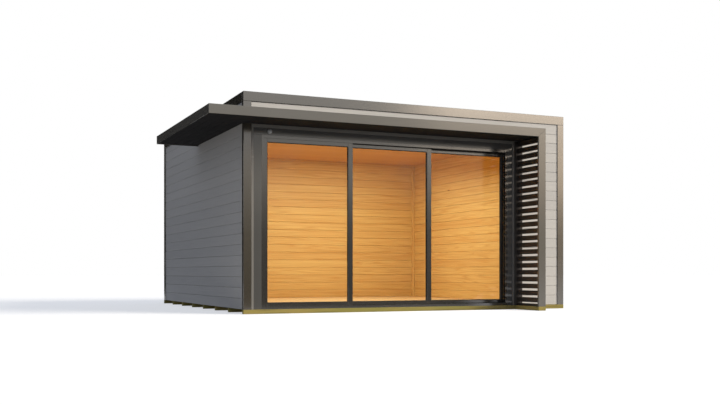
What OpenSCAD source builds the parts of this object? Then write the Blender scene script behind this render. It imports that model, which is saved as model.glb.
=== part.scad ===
// Flat-roofed garden office: framed walls on floor bearers, clad outside and lined inside
// with boards, a canopy that wraps the front left corner, a louvred fin under its right
// end, and a sliding door of three sashes on three tracks. The front faces -Y. The origin
// is on the ground, in the middle of the outline.

/* [Building] */
// width over the corner trims
body_w = 4340; // [3600:10:5400]
// depth over the corner trims
body_d = 4100; // [3200:10:5400]
// height of the front coping above the ground
body_h = 2500; // [2050:10:2900]
// drop of the roof and its coping from front to back
roof_fall = 50; // [0:5:80]

/* [Base and floor] */
// number of floor bearers
bearer_n = 8; // [5:1:11]
// width of a bearer
bearer_w = 45; // [38:1:75]
// height of a bearer
bearer_h = 50; // [45:1:95]
// thickness of the floor boards
floor_t = 22; // [18:1:28]

/* [Walls] */
// thickness of the framed and insulated core
core_t = 124; // [90:1:150]
// thickness of the outer boards
cladding_t = 18; // [14:1:22]
// thickness of the inner boards
lining_t = 18; // [12:1:22]
// height of the front coping above the ceiling boards
roof_depth = 240; // [200:5:300]

/* [Trims and roof edge] */
// thickness of trims and coping, counted from the wall core
trim_t = 28; // [24:1:36]
// wide leg of a corner trim
trim_w = 95; // [80:1:110]
// narrow leg of a corner trim
trim_leg = 55; // [45:1:75]
// height of the coping face
coping_h = 110; // [80:5:140]
// height of the coping cap above the roof sheet
upstand = 40; // [25:5:60]
// width of the coping where it covers the edge of the roof sheet
coping_w = 75; // [50:1:120]
// thickness of the roof sheets
sheet_t = 4; // [2:1:6]

/* [Canopy] */
// reach of the canopy in front of the building
canopy_front = 527; // [400:1:700]
// reach of the canopy beside the building
canopy_side = 535; // [400:1:700]
// length of the side arm behind the front face
canopy_back = 2070; // [1200:10:3000]
// drop from the front coping to the lower edge of the fascia
canopy_drop = 370; // [340:1:420]
// height of the fascia
fascia_h = 105; // [90:1:120]
// thickness of the fascia
fascia_t = 28; // [20:1:36]
// height of the soffit above the fascia edge
soffit_up = 8; // [0:1:15]
// thickness of the soffit boards
soffit_t = 12; // [9:1:18]
// depth of the fascia edge above the canopy sheet
canopy_lip = 3; // [0:1:6]

/* [Louvred fin] */
// width of clad wall to the right of the fin
fin_right = 650; // [500:10:750]
// width of the fin posts
fin_w = 105; // [90:1:120]
// depth of the fin post on the wall
fin_wall_post = 30; // [20:1:60]
// number of slats
slat_n = 24; // [18:1:28]
// height of a slat
slat_h = 59; // [40:1:62]
// thickness of a slat
slat_t = 40; // [25:1:60]
// height of the rail below the slats
fin_rail_h = 31; // [15:1:40]
// gap between the rail and the lowest slat
slat_foot = 17; // [10:1:40]

/* [Door opening] */
// face width of the surround legs
surround_w = 25; // [20:1:40]
// face height of the surround head
surround_h = 42; // [30:1:50]
// height of the surround face in front of the cladding
surround_up = 8; // [4:1:9]
// drop from the lower edge of the fascia to the opening in the wall frame
opening_drop = 27; // [22:1:40]
// depth of the door lining and frame behind the corner trims
lining_back = 15; // [10:1:20]
// height of the door lining over the door frame
lining_head = 79; // [60:1:100]
// width of the door lining left of the door frame
lining_left = 98; // [80:1:120]
// width of the door lining right of the door frame
lining_right = 74; // [60:1:120]

/* [Door frame] */
// face width of the jambs
jamb_w = 30; // [28:1:36]
// face height of the head track
head_h = 34; // [30:1:40]
// face height of the cill track
cill_h = 32; // [28:1:40]
// thickness of the frame walls
frame_wall = 4; // [3:0.5:6]
// distance from one track to the next
track_pitch = 42; // [42:1:60]
// running gap on each side of a sash
run_gap = 5; // [5:0.5:7]
// width of a running rail
rail_w = 6; // [4:1:10]
// height of a running rail
rail_h = 5; // [3:1:6]

/* [Sashes] */
// depth of a sash
sash_t = 28; // [26:1:28]
// extra width of the pane in the lead sash
lead_extra = 15; // [0:1:60]
// stile of the fixed sash at its jamb
fixed_stile = 60; // [45:1:70]
// stile of the lead sash at its jamb
lock_stile = 30; // [28:1:60]
// stiles where two sashes meet
meeting_stile = 58; // [50:1:80]
// overlap of the stiles where two sashes meet
stile_lap = 45; // [35:1:50]
// top rail of a sash
top_rail = 60; // [50:1:70]
// bottom rail of a sash
bottom_rail = 58; // [50:1:75]
// height of a sash inside each track
sash_in = 17; // [14:1:18]
// thickness of the sealed glass unit
glass_t = 20; // [18:1:22]
// depth of the glass in its groove
glass_in = 10; // [6:1:14]
// room left past the glass edge in its groove
glass_gap = 3; // [2:1:5]
// radius of the running wheels
wheel_r = 14; // [10:1:18]
// width of the running wheels
wheel_w = 10; // [6:1:14]
// distance of the wheels from the sash end
wheel_in = 160; // [80:5:250]
// room between a wheel and its rail
wheel_gap = 0.3; // [0.2:0.1:0.5]
// width of the weather bar between meeting stiles
seal_w = 5; // [3:1:8]

/* [Entrance sensor] */
// distance of the sensor from the left corner
sensor_x = 315; // [280:5:900]
// radius of the sensor plate
sensor_r = 27; // [20:1:32]
// thickness of the sensor plate
sensor_t = 8; // [5:1:12]
// radius of the sensor dome
dome_r = 22; // [16:1:26]

/* [Joints] */
// hairline left between pieces that meet
joint = 0.5; // [0.3:0.1:1]

/* [Hidden] */
clad_face = trim_t - cladding_t;
core_in = trim_t + core_t;
room_in = core_in + lining_t;
floor_z = bearer_h + floor_t;
ceiling_z = body_h - roof_depth;
deck_z = ceiling_z + lining_t;
coping_z = body_h - coping_h;
roof_z = body_h - upstand - joint - sheet_t;
fall = roof_fall / body_d;
fin_x1 = body_w - fin_right;
fin_x0 = fin_x1 - fin_w;
canopy_z = body_h - canopy_drop;
slat_pitch = (canopy_z - bearer_h - fin_rail_h - slat_foot - slat_h) / (slat_n - 1);
soffit_z = canopy_z + soffit_up;
canopy_top = canopy_z + fascia_h;
canopy_sheet = canopy_top - canopy_lip - sheet_t;
canopy_x0 = fascia_t - canopy_side;
canopy_y0 = fascia_t - canopy_front;
opening_x0 = trim_w + surround_w;
opening_x1 = fin_x0 - surround_w;
opening_z = canopy_z - opening_drop;
end_gap = frame_wall + run_gap;
frame_x0 = opening_x0 + lining_left;
frame_x1 = opening_x1 - lining_right;
stile_sum = fixed_stile + 2 * (2 * meeting_stile - stile_lap) + lock_stile;
pane_w = (frame_x1 - frame_x0 - 2 * end_gap - stile_sum - lead_extra) / 3;
lead_pane = pane_w + lead_extra;
frame_z1 = opening_z - lining_head;
frame_depth = 2 * track_pitch + sash_t + 2 * end_gap;
track_y = lining_back + end_gap;
cill_top = bearer_h + cill_h;
head_low = frame_z1 - head_h;
sash_z0 = cill_top - sash_in;
sash_z1 = head_low + sash_in;
rail_top = bearer_h + frame_wall + rail_h;
fixed_x = frame_x0 + end_gap;
first_meet = fixed_x + fixed_stile + pane_w;
middle_x = first_meet + meeting_stile - stile_lap;
second_meet = middle_x + meeting_stile + pane_w;
lead_x = second_meet + meeting_stile - stile_lap;
seal_d = track_pitch - sash_t - run_gap;
$fn = 64;

// Moves from the front left corner of the walls to the shared origin.
module place() {
  translate([(canopy_side - body_w) / 2, (canopy_front - body_d) / 2, 0])
    children();
}

// A box between two corners.
module block(low, high) {
  translate(low)
    cube(high - low);
}

// An outline in Y and Z drawn out along X.
module along_x(x0, x1, outline) {
  translate([x0, 0, 0])
    rotate([90, 0, 90])
      linear_extrude(x1 - x0)
        polygon(outline);
}

// An outline in X and Z drawn out along Y.
module along_y(y0, y1, outline) {
  translate([0, y1, 0])
    rotate([90, 0, 0])
      linear_extrude(y1 - y0)
        polygon(outline);
}

// The same piece on both sides of the building.
module both_sides() {
  children();
  translate([body_w, 0, 0])
    mirror([1, 0, 0])
      children();
}

// Keeps what lies a hairline below the falling edge of the coping.
module below_coping() {
  top = coping_z - joint;
  intersection() {
    children();
    along_x(0, body_w, [[0, 0], [body_d, 0], [body_d, top - roof_fall], [0, top]]);
  }
}

// A strip between two heights that falls with the roof, from y0 to y1.
module falling_strip(x0, x1, y0, y1, z0, z1) {
  along_x(x0, x1, [
    [y0, z0 - y0 * fall],
    [y1, z0 - y1 * fall],
    [y1, z1 - y1 * fall],
    [y0, z1 - y0 * fall]
  ]);
}

module floor_bearers() color("darkkhaki") place()
  for (i = [0 : bearer_n - 1])
    translate([0, i * (body_d - bearer_w) / (bearer_n - 1), 0])
      cube([body_w, bearer_w, bearer_h]);

module floor_boards() color("burlywood") place()
  block([room_in, room_in, bearer_h], [body_w - room_in, body_d - room_in, floor_z]);

module left_wall() color("tan") place()
  block([trim_t, core_in, bearer_h], [core_in, body_d - core_in, deck_z]);

module right_wall() color("tan") place()
  block([body_w - core_in, core_in, bearer_h], [body_w - trim_t, body_d - core_in, deck_z]);

module back_wall() color("tan") place()
  block([trim_t, body_d - core_in, bearer_h], [body_w - trim_t, body_d - trim_t, deck_z]);

module front_left_post() color("tan") place()
  block([trim_t, trim_t, bearer_h], [opening_x0, core_in, opening_z]);

module front_right_wall() color("tan") place()
  block([opening_x1, trim_t, bearer_h], [body_w - trim_t, core_in, opening_z]);

module front_header() color("tan") place()
  block([trim_t, trim_t, opening_z], [body_w - trim_t, core_in, deck_z]);

module left_lining() color("sandybrown") place()
  block([core_in, core_in, bearer_h], [room_in, body_d - core_in, ceiling_z]);

module right_lining() color("sandybrown") place()
  block([body_w - room_in, core_in, bearer_h], [body_w - core_in, body_d - core_in, ceiling_z]);

module back_lining() color("sandybrown") place()
  block([room_in, body_d - room_in, bearer_h], [body_w - room_in, body_d - core_in, ceiling_z]);

module front_lining() color("sandybrown") place() {
  block([room_in, core_in, bearer_h], [frame_x0, room_in, ceiling_z]);
  block([frame_x0 + joint, core_in, frame_z1], [frame_x1 - joint, room_in, ceiling_z]);
  block([frame_x1, core_in, bearer_h], [body_w - room_in, room_in, ceiling_z]);
}

module ceiling_lining() color("sandybrown") place()
  block([core_in, core_in, ceiling_z], [body_w - core_in, body_d - core_in, deck_z]);

module left_cladding() color("silver") place()
  below_coping()
    block([clad_face, trim_leg, bearer_h], [trim_t, body_d - trim_w, body_h]);

module right_cladding() color("silver") place()
  below_coping()
    block([body_w - trim_t, trim_leg, bearer_h], [body_w - clad_face, body_d - trim_w, body_h]);

module back_cladding() color("silver") place()
  below_coping()
    block([trim_leg, body_d - trim_t, bearer_h], [body_w - trim_leg, body_d - clad_face, body_h]);

module front_cladding() color("silver") place()
  below_coping() {
    block([trim_w, clad_face, opening_z + surround_h], [body_w - trim_w, trim_t, body_h]);
    block([fin_x0, clad_face, bearer_h],
      [body_w - trim_w, trim_t, opening_z + surround_h - joint]);
  }

module front_trims() color("dimgray") place()
  both_sides()
    below_coping() {
      block([0, 0, bearer_h], [trim_w, trim_t, body_h]);
      block([0, 0, bearer_h], [trim_t, trim_leg, body_h]);
    }

module back_trims() color("dimgray") place()
  both_sides()
    below_coping() {
      block([0, body_d - trim_w, bearer_h], [trim_t, body_d, body_h]);
      block([0, body_d - trim_t, bearer_h], [trim_leg, body_d, body_h]);
    }

module roof_deck() color("wheat") place()
  along_x(trim_t, body_w - trim_t, [
    [trim_t, deck_z],
    [body_d - trim_t, deck_z],
    [body_d - trim_t, roof_z - (body_d - trim_t) * fall],
    [trim_t, roof_z - trim_t * fall]
  ]);

module roof_sheet() color("darkslategray") place()
  falling_strip(trim_t, body_w - trim_t, trim_t, body_d - trim_t, roof_z, roof_z + sheet_t);

// Each coping is a face board with a cap that covers the edge of the roof sheet.
module front_coping() color("dimgray") place() {
  falling_strip(0, body_w, 0, trim_t, coping_z, body_h);
  falling_strip(0, body_w, 0, coping_w, body_h - upstand, body_h);
}

// The face boards run on under the caps of the front and back.
module side_copings() color("dimgray") place()
  both_sides() {
    face_end = trim_t + joint;
    cap_end = coping_w + joint;
    cap_low = body_h - upstand;
    falling_strip(0, trim_t, face_end, body_d - face_end, coping_z, cap_low - joint);
    falling_strip(0, trim_t, cap_end, body_d - cap_end, coping_z, body_h);
    falling_strip(0, coping_w, cap_end, body_d - cap_end, cap_low, body_h);
  }

module back_coping() color("dimgray") place() {
  falling_strip(0, body_w, body_d - trim_t, body_d, coping_z, body_h);
  falling_strip(0, body_w, body_d - coping_w, body_d, body_h - upstand, body_h);
}

module canopy_deck() color("wheat") place()
  translate([0, 0, soffit_z + soffit_t])
    linear_extrude(canopy_sheet - soffit_z - soffit_t) {
      polygon([
        [canopy_x0, canopy_y0], [fin_x1 - fascia_t, canopy_y0],
        [fin_x1 - fascia_t, clad_face], [trim_w, clad_face],
        [trim_w, 0], [canopy_x0, 0]
      ]);
      polygon([
        [canopy_x0, joint], [0, joint], [0, trim_leg], [clad_face, trim_leg],
        [clad_face, canopy_back - fascia_t], [canopy_x0, canopy_back - fascia_t]
      ]);
    }

module canopy_soffit() color("dimgray") place() {
  block([canopy_x0, canopy_y0, soffit_z], [fin_x1 - fascia_t, 0, soffit_z + soffit_t]);
  block([canopy_x0, joint, soffit_z], [0, canopy_back - fascia_t, soffit_z + soffit_t]);
}

module canopy_sheet_cover() color("darkslategray") place()
  translate([0, 0, canopy_sheet])
    linear_extrude(sheet_t)
      polygon([
        [canopy_x0, canopy_y0], [fin_x1 - fascia_t, canopy_y0],
        [fin_x1 - fascia_t, clad_face], [trim_w, clad_face], [trim_w, 0],
        [0, 0], [0, trim_leg], [clad_face, trim_leg],
        [clad_face, canopy_back - fascia_t], [canopy_x0, canopy_back - fascia_t]
      ]);

// The right end is cut at 45 degrees to meet the post of the fin.
module canopy_front_fascia() color("gray") place()
  along_y(-canopy_front, canopy_y0, [
    [-canopy_side, canopy_z],
    [fin_x0, canopy_z],
    [fin_x1, canopy_top],
    [-canopy_side, canopy_top]
  ]);

module canopy_side_fascias() color("gray") place() {
  block([-canopy_side, canopy_y0, canopy_z], [canopy_x0, canopy_back, canopy_top]);
  block([canopy_x0 + joint, canopy_back - fascia_t, canopy_z],
    [clad_face, canopy_back, canopy_top]);
  block([fin_x1 - fascia_t, canopy_y0, canopy_z], [fin_x1, clad_face, canopy_top]);
}

module fin_sole_plate() color("darkkhaki") place()
  block([fin_x0, -canopy_front, 0], [fin_x1, 0, bearer_h]);

module fin_front_post() color("gray") place()
  along_y(-canopy_front, canopy_y0, [
    [fin_x0, bearer_h],
    [fin_x1, bearer_h],
    [fin_x1, canopy_top],
    [fin_x0, canopy_z]
  ]);

module fin_wall_side_post() color("dimgray") place()
  block([fin_x0, clad_face - fin_wall_post, bearer_h], [fin_x1, clad_face, canopy_z]);

module fin_slats() color("dimgray") place()
  translate([fin_x0 + (fin_w - slat_t) / 2, canopy_y0, bearer_h]) {
    slat_l = clad_face - fin_wall_post - canopy_y0;
    cube([slat_t, slat_l, fin_rail_h]);
    for (i = [0 : slat_n - 1])
      translate([0, 0, fin_rail_h + slat_foot + i * slat_pitch])
        cube([slat_t, slat_l, slat_h]);
  }

module door_surround() color("gray") place() {
  front = clad_face - surround_up;
  block([trim_w, front, bearer_h], [opening_x0, trim_t, opening_z - joint]);
  block([opening_x1, front, bearer_h], [fin_x0, trim_t, opening_z - joint]);
  block([trim_w, front, opening_z], [fin_x0, trim_t, opening_z + surround_h]);
}

module door_lining() color("dimgray") place() {
  block([opening_x0, lining_back, bearer_h], [frame_x0, core_in, frame_z1 - joint]);
  block([frame_x1, lining_back, bearer_h], [opening_x1, core_in, frame_z1 - joint]);
  block([opening_x0, lining_back, frame_z1], [opening_x1, core_in, opening_z]);
}

// The three grooves of the door frame, each a running gap wider than a sash all round.
module tracks(x0, x1, z0, z1) {
  for (i = [0 : 2])
    translate([0, track_y + i * track_pitch - run_gap, 0])
      block([x0, 0, z0], [x1, sash_t + 2 * run_gap, z1]);
}

module door_head_track() color("dimgray") place()
  difference() {
    block([frame_x0, lining_back, head_low], [frame_x1, lining_back + frame_depth, frame_z1]);
    tracks(frame_x0 + frame_wall, frame_x1 - frame_wall, head_low - 1, frame_z1 - frame_wall);
  }

// Each groove of the cill holds a raised rail for the wheels. Behind the last groove the
// cill runs on to the floor boards.
module door_cill_track() color("dimgray") place() {
  difference() {
    block([frame_x0, lining_back, bearer_h], [frame_x1, room_in - joint, cill_top]);
    tracks(frame_x0 + frame_wall, frame_x1 - frame_wall, bearer_h + frame_wall, cill_top + 1);
  }
  for (i = [0 : 2])
    translate([0, track_y + i * track_pitch + (sash_t - rail_w) / 2, 0])
      block([frame_x0, 0, bearer_h], [frame_x1, rail_w, rail_top]);
}

module door_jambs() color("dimgray") place() {
  depth = lining_back + frame_depth;
  difference() {
    block([frame_x0, lining_back, cill_top], [frame_x0 + jamb_w, depth, head_low]);
    tracks(frame_x0 + frame_wall, frame_x0 + jamb_w + 1, cill_top - 1, head_low + 1);
  }
  difference() {
    block([frame_x1 - jamb_w, lining_back, cill_top], [frame_x1, depth, head_low]);
    tracks(frame_x1 - jamb_w - 1, frame_x1 - frame_wall, cill_top - 1, head_low + 1);
  }
}

// Glass of a sash on the given track, reaching into the grooves of its frame.
module pane(track, x0, left, width) {
  y = track_y + track * track_pitch + (sash_t - glass_t) / 2;
  block([x0 + left - glass_in, y, sash_z0 + bottom_rail - glass_in],
    [x0 + left + width + glass_in, y + glass_t, sash_z1 - top_rail + glass_in]);
}

// Two stiles and two rails, grooved for the glass and parted by hairline joints.
module sash_frame(track, x0, left, width, right) {
  y = track_y + track * track_pitch;
  x1 = x0 + left + width;
  deep = glass_in + glass_gap;
  difference() {
    union() {
      block([x0, y, sash_z0], [x0 + left, y + sash_t, sash_z1]);
      block([x1, y, sash_z0], [x1 + right, y + sash_t, sash_z1]);
      block([x0 + left + joint, y, sash_z0], [x1 - joint, y + sash_t, sash_z0 + bottom_rail]);
      block([x0 + left + joint, y, sash_z1 - top_rail], [x1 - joint, y + sash_t, sash_z1]);
    }
    block([x0 + left - deep, y + (sash_t - glass_t) / 2, sash_z0 + bottom_rail - deep],
      [x1 + deep, y + (sash_t + glass_t) / 2, sash_z1 - top_rail + deep]);
  }
}

// Weather bar on the back of a meeting stile, a running gap short of the next sash and
// of the tracks above and below.
module weather_bar(track, x) {
  y = track_y + track * track_pitch + sash_t;
  block([x + (meeting_stile - seal_w) / 2, y, cill_top + run_gap],
    [x + (meeting_stile + seal_w) / 2, y + seal_d, head_low - run_gap]);
}

// Wheels under the bottom rail, each just clear of its rail.
module wheels(track, x0, length) {
  y = track_y + track * track_pitch + (sash_t + wheel_w) / 2;
  for (x = [x0 + wheel_in, x0 + length - wheel_in])
    translate([x, y, rail_top + wheel_gap + wheel_r])
      rotate([90, 0, 0])
        cylinder(r = wheel_r, h = wheel_w);
}

// The fixed sash stands on blocks on the front rail.
module fixed_sash() color("dimgray") place() {
  sash_frame(0, fixed_x, fixed_stile, pane_w, meeting_stile);
  weather_bar(0, first_meet);
  for (x = [fixed_x + wheel_in, first_meet + meeting_stile - wheel_in])
    block([x - wheel_r, track_y + (sash_t - wheel_w) / 2, rail_top],
      [x + wheel_r, track_y + (sash_t + wheel_w) / 2, sash_z0]);
}

module fixed_glass() color("lightblue", 0.4) place()
  pane(0, fixed_x, fixed_stile, pane_w);

module middle_sash() color("dimgray") place() {
  sash_frame(1, middle_x, meeting_stile, pane_w, meeting_stile);
  weather_bar(1, second_meet);
  wheels(1, middle_x, 2 * meeting_stile + pane_w);
}

module middle_glass() color("lightblue", 0.4) place()
  pane(1, middle_x, meeting_stile, pane_w);

module lead_sash() color("dimgray") place() {
  sash_frame(2, lead_x, meeting_stile, lead_pane, lock_stile);
  wheels(2, lead_x, meeting_stile + lead_pane + lock_stile);
}

module lead_glass() color("lightblue", 0.4) place()
  pane(2, lead_x, meeting_stile, lead_pane);

module entrance_sensor() color("gainsboro") place()
  translate([sensor_x, lining_back, frame_z1 + lining_head / 2])
    rotate([90, 0, 0]) {
      cylinder(r = sensor_r, h = sensor_t);
      intersection() {
        translate([0, 0, sensor_t])
          sphere(r = dome_r);
        cylinder(r = sensor_r, h = sensor_t + dome_r);
      }
    }

floor_bearers();
floor_boards();
left_wall();
right_wall();
back_wall();
front_left_post();
front_right_wall();
front_header();
left_lining();
right_lining();
back_lining();
front_lining();
ceiling_lining();
left_cladding();
right_cladding();
back_cladding();
front_cladding();
front_trims();
back_trims();
roof_deck();
roof_sheet();
front_coping();
side_copings();
back_coping();
canopy_deck();
canopy_soffit();
canopy_sheet_cover();
canopy_front_fascia();
canopy_side_fascias();
fin_sole_plate();
fin_front_post();
fin_wall_side_post();
fin_slats();
door_surround();
door_lining();
door_head_track();
door_cill_track();
door_jambs();
fixed_sash();
fixed_glass();
middle_sash();
middle_glass();
lead_sash();
lead_glass();
entrance_sensor();
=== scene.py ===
import bpy
import numpy as np
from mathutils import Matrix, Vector


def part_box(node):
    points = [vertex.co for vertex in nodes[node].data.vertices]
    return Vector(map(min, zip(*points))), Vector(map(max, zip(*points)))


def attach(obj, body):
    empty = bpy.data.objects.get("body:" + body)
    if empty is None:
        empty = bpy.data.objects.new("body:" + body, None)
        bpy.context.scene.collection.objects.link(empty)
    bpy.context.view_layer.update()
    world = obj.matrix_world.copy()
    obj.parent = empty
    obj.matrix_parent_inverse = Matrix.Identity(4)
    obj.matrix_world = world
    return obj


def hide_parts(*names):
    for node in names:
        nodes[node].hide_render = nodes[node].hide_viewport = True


# The garden office as it was set out: every piece below takes its size and place from
# these solids, in metres, with the front towards -Y and the ground at z = 0.
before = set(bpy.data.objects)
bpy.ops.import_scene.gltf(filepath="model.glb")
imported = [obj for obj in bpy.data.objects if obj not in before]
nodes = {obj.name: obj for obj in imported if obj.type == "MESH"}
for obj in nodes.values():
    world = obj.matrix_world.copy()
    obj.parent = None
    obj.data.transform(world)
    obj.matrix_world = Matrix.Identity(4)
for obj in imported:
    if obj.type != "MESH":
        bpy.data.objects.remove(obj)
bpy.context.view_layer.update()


def solids(node):
    """Lowest and highest corners of each solid in a node, in order of x, then y, then z.

    Triangles that share a corner belong to one solid: every corner takes the lowest number
    found in its triangles, over and over, until no number changes.
    """
    mesh = nodes[node].data
    spots = np.empty(3 * len(mesh.vertices))
    mesh.vertices.foreach_get("co", spots)
    spots, same = np.unique(spots.reshape(-1, 3).round(5), axis=0, return_inverse=True)
    mesh.calc_loop_triangles()
    triangles = np.empty(3 * len(mesh.loop_triangles), int)
    mesh.loop_triangles.foreach_get("vertices", triangles)
    triangles = same.ravel()[triangles].reshape(-1, 3)
    number = np.arange(len(spots))
    before = number - 1
    while (before != number).any():
        before = number.copy()
        lowest = np.repeat(number[triangles].min(axis=1), 3)
        np.minimum.at(number, triangles.ravel(), lowest)
    groups = [spots[number == k] for k in np.unique(number)]
    boxes = [(group.min(axis=0), group.max(axis=0)) for group in groups]
    return sorted(boxes, key=lambda box: tuple(box[0]))


# Floor bearers: eight sawn lengths of pressure-treated softwood across the ground, which
# carry the floor and the walls. The arrises are eased, and the treatment took unevenly.
X, Y, Z = 0, 1, 2
draw = np.random.default_rng(11)


def carried(outline, axis, start, end, radius, steps=3):
    """A bar: an outline with rounded corners, carried straight along an axis.

    The outline lies in the two axes that follow the bar's own in the order x, y, z. At a
    corner, the arc's centre lies back along the sum of the two edge normals, and a point of
    the outline set in by d is centre + (turn * radius - d) * normal, where turn is 1 at an
    outer and -1 at an inner corner. At each end, for t from 0 to a quarter turn, the outline
    is set in by ease * (1 - sin t) and stands ease * (1 - cos t) from the end.
    """
    corners = np.asarray(outline, float)
    after = np.roll(corners, -1, axis=0)
    if np.sum(corners[:, 0] * after[:, 1] - after[:, 0] * corners[:, 1]) < 0:
        corners = corners[::-1]
    edge_in = corners - np.roll(corners, 1, axis=0)
    edge_in /= np.linalg.norm(edge_in, axis=1, keepdims=True)
    edge_out = np.roll(edge_in, -1, axis=0)
    turn = np.sign(edge_in[:, 0] * edge_out[:, 1] - edge_in[:, 1] * edge_out[:, 0])
    normal_in = edge_in[:, ::-1] * (1, -1)
    normal_out = edge_out[:, ::-1] * (1, -1)
    both = normal_in + normal_out
    spread = 1 + np.sum(normal_in * normal_out, axis=1)
    centre = corners - (turn * radius / spread)[:, None] * both
    share = np.linspace(0, 1, steps)[None, :, None]
    normal = normal_in[:, None] * (1 - share) + normal_out[:, None] * share
    normal /= np.linalg.norm(normal, axis=2, keepdims=True)
    normal = normal.reshape(-1, 2)
    centre = np.repeat(centre, steps, axis=0)
    reach = np.repeat(turn * radius, steps)
    ease = 0.6 * radius
    quarter = np.linspace(0, np.pi / 2, steps)
    inset = ease * (1 - np.sin(quarter))
    stand = ease * (1 - np.cos(quarter))
    inset = np.concatenate([inset, inset[::-1]])
    place = np.concatenate([start + stand, end - stand[::-1]])
    points = np.empty((len(place), len(centre), 3))
    points[..., axis] = place[:, None]
    points[..., [(axis + 1) % 3, (axis + 2) % 3]] = (
        centre + (reach - inset[:, None])[..., None] * normal
    )
    return woven(points, curved=lambda i, j: (i != steps - 1) | (j % steps != steps - 1))


def woven(points, curved):
    """Quads between the rings of a grid of points, and a flat face on the first and last ring."""
    rings, around = points.shape[:2]
    i, j = np.meshgrid(np.arange(rings - 1), np.arange(around), indexing="ij")
    k = (j + 1) % around
    here, above = i * around, (i + 1) * around
    quads = np.stack([here + j, here + k, above + k, above + j], -1)
    lids = [np.arange(around)[::-1], (rings - 1) * around + np.arange(around)]
    faces = quads.reshape(-1, 4).tolist() + [lid.tolist() for lid in lids]
    smooth = np.append(np.broadcast_to(curved(i, j), i.shape).ravel(), [False, False])
    return points.reshape(-1, 3), faces, smooth


def bar(low, high, axis, radius):
    """A box with rounded edges, carried along one axis."""
    u, v = (axis + 1) % 3, (axis + 2) % 3
    section = [(low[u], low[v]), (high[u], low[v]), (high[u], high[v]), (low[u], high[v])]
    return carried(section, axis, low[axis], high[axis], radius)


def bars(node, radius):
    """Each solid of a node as a bar along its greatest length."""
    return [bar(low, high, int(np.argmax(high - low)), radius) for low, high in solids(node)]


def cut(shape, axis, start, end, goal):
    """The shape with its end drawn from end to goal, a function of its points."""
    points, faces, smooth = shape
    points = points.copy()
    points[:, axis] = start + (points[:, axis] - start) * (goal(points) - start) / (end - start)
    return points, faces, smooth


def piece(name, shapes, finish, slot, body, *stands_for):
    """One mesh of several shapes. Each shape has a tone of its own, kept on its points."""
    mesh = bpy.data.meshes.new(name)
    counts = [len(shape[0]) for shape in shapes]
    firsts = np.cumsum([0, *counts[:-1]])
    faces = [
        [corner + int(first) for corner in face]
        for first, shape in zip(firsts, shapes)
        for face in shape[1]
    ]
    mesh.from_pydata(np.concatenate([shape[0] for shape in shapes]).tolist(), [], faces)
    mesh.polygons.foreach_set("use_smooth", np.concatenate([shape[2] for shape in shapes]))
    tone = mesh.attributes.new("tone", "FLOAT", "POINT")
    tone.data.foreach_set("value", np.repeat(draw.random(len(shapes)), counts).astype(np.float32))
    mesh.materials.append(finish)
    made = bpy.data.objects.new(name, mesh)
    bpy.context.scene.collection.objects.link(made)
    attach(made, body)
    if stands_for:
        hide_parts(*stands_for)
    return made


class Value:
    """An output of a node. Arithmetic on values and numbers adds Math nodes."""

    def __init__(self, nodes_of, socket):
        self.nodes_of = nodes_of
        self.socket = socket

    def math(self, operation, *terms):
        """A Math node that works on its terms in order."""
        return self.nodes_of.node("Math", {"operation": operation}, dict(enumerate(terms)))

    def __add__(self, other):
        return self.math("ADD", self, other)

    def __radd__(self, other):
        return self.math("ADD", other, self)

    def __sub__(self, other):
        return self.math("SUBTRACT", self, other)

    def __rsub__(self, other):
        return self.math("SUBTRACT", other, self)

    def __mul__(self, other):
        return self.math("MULTIPLY", self, other)

    def __rmul__(self, other):
        return self.math("MULTIPLY", other, self)

    def __truediv__(self, other):
        return self.math("DIVIDE", self, other)

    def __pow__(self, other):
        return self.math("POWER", self, other)


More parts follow.
